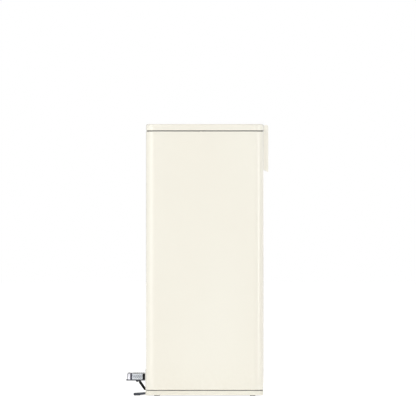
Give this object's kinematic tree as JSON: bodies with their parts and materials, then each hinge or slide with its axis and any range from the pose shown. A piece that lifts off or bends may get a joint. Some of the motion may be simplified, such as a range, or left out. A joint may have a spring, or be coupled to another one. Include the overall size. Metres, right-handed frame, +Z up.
{
  "type": "trash compactor",
  "caption": "Pedal-operated trash compactor bin: a tall painted cabinet with a lift-out bucket, a lid on a rear hinge worked by a push rod, and a sprung hand press in the lid.",
  "frame": {"origin": "on the floor, under the middle of the overall width and length", "axes": "+Z up, -Y towards the user and the pedal, +X to the right of the user who faces the bin"},
  "size_m": [0.305, 0.356, 0.68],
  "materials": {
    "cream_paint": "smooth cream enamel, semi-gloss",
    "cream_plastic": "smooth cream moulding, satin gloss",
    "dark_plastic": "dark grey moulding, fine grain",
    "white_plastic": "white moulding, satin",
    "slate_plastic": "slate grey moulding, satin",
    "black_rubber": "matt black rubber",
    "grey_rubber": "grey rubber with a fine dotted texture",
    "black_steel": "black powder coat",
    "zinc_steel": "zinc-plated steel",
    "stainless": "brushed stainless steel",
    "chrome": "polished",
    "carbon_felt": "black carbon felt"
  },
  "bodies": {
    "cabinet": {"outer_shell": "cream_paint", "base_trim": "cream_plastic", "base_tray": "dark_plastic", "foot_front_left": "black_rubber", "foot_front_right": "black_rubber", "foot_rear_left": "black_rubber", "foot_rear_right": "black_rubber", "stabiliser_toe": "slate_plastic", "toe_pad": "black_rubber", "toe_screw_left": "zinc_steel", "toe_screw_right": "zinc_steel", "pedal_surround": "cream_plastic", "top_collar": "dark_plastic", "bucket": "dark_plastic", "bag_ring": "white_plastic", "hinge_housing": "cream_plastic", "hinge_pin": "zinc_steel", "hinge_back_plate": "zinc_steel", "housing_screw_left_upper": "zinc_steel", "housing_screw_left_lower": "zinc_steel", "housing_screw_right_upper": "zinc_steel", "housing_screw_right_lower": "zinc_steel", "lever_bracket": "zinc_steel", "bracket_screw_left": "zinc_steel", "bracket_screw_right": "zinc_steel", "lever_axle": "zinc_steel", "rod_guide_lower": "dark_plastic", "rod_guide_upper": "dark_plastic", "damper_cylinder": "black_steel", "damper_bracket": "dark_plastic"},
    "pedal": {"pedal_lever": "black_steel", "pedal_plate": "slate_plastic", "pedal_nose": "chrome", "nose_gasket": "black_rubber", "pedal_core": "grey_rubber", "pedal_rear_block": "black_rubber", "pedal_tread": "stainless", "lever_end_pin": "zinc_steel", "pedal_screw_left": "zinc_steel", "pedal_screw_right": "zinc_steel"},
    "rod": {"push_rod": "zinc_steel", "rod_yoke": "zinc_steel", "rod_foot": "zinc_steel", "damper_arm": "zinc_steel", "damper_piston": "stainless"},
    "inner_lid": {"inner_lid": "dark_plastic", "crank_pin": "zinc_steel", "press_pin_left": "zinc_steel", "press_pin_right": "zinc_steel", "press_spring_left": "stainless", "press_spring_right": "stainless"},
    "press": {"press_tub": "dark_plastic", "press_plate": "stainless", "press_grip": "slate_plastic"},
    "cover": {"cover_shell": "cream_paint", "cover_liner": "white_plastic", "lid_seal": "black_rubber", "filter_cartridge": "carbon_felt"},
    "filter_cap": {"filter_cap": "white_plastic"}
  },
  "joints": [
    {"name": "lid_hinge", "type": "hinge", "parent": "cabinet", "child": "inner_lid", "pos_m": [0, 0.1722, 0.6725], "axis": [-1, 0, 0], "range_deg": [0, 75]},
    {"name": "cover_hinge", "type": "hinge", "parent": "inner_lid", "child": "cover", "pos_m": [0, 0.1722, 0.6725], "axis": [-1, 0, 0], "range_deg": [0, 70]},
    {"name": "press_hinge", "type": "hinge", "parent": "inner_lid", "child": "press", "pos_m": [0, 0.095, 0.65], "axis": [1, 0, 0], "range_deg": [0, 35], "stiffness_Nm_per_rad": 0.5, "springref_deg": -97.4},
    {"name": "filter_cap_twist", "type": "hinge", "parent": "cover", "child": "filter_cap", "pos_m": [0, 0.01, 0.6639], "axis": [0, 0, 1], "range_deg": [0, 30]},
    {"name": "pedal_pivot", "type": "hinge", "parent": "cabinet", "child": "pedal", "pos_m": [0, -0.058, 0.02], "axis": [1, 0, 0], "range_deg": [0, 9.58]},
    {"name": "rod_slide", "type": "slide", "parent": "cabinet", "child": "rod", "axis": [0, 0, 1], "range_m": [0, 0.0341]}
  ],
  "couplings": [
    {"joint": "pedal_pivot", "follows": "lid_hinge", "ratio": 0.12758},
    {"joint": "rod_slide", "follows": "lid_hinge", "m_per_rad": 0.026043}
  ]
}
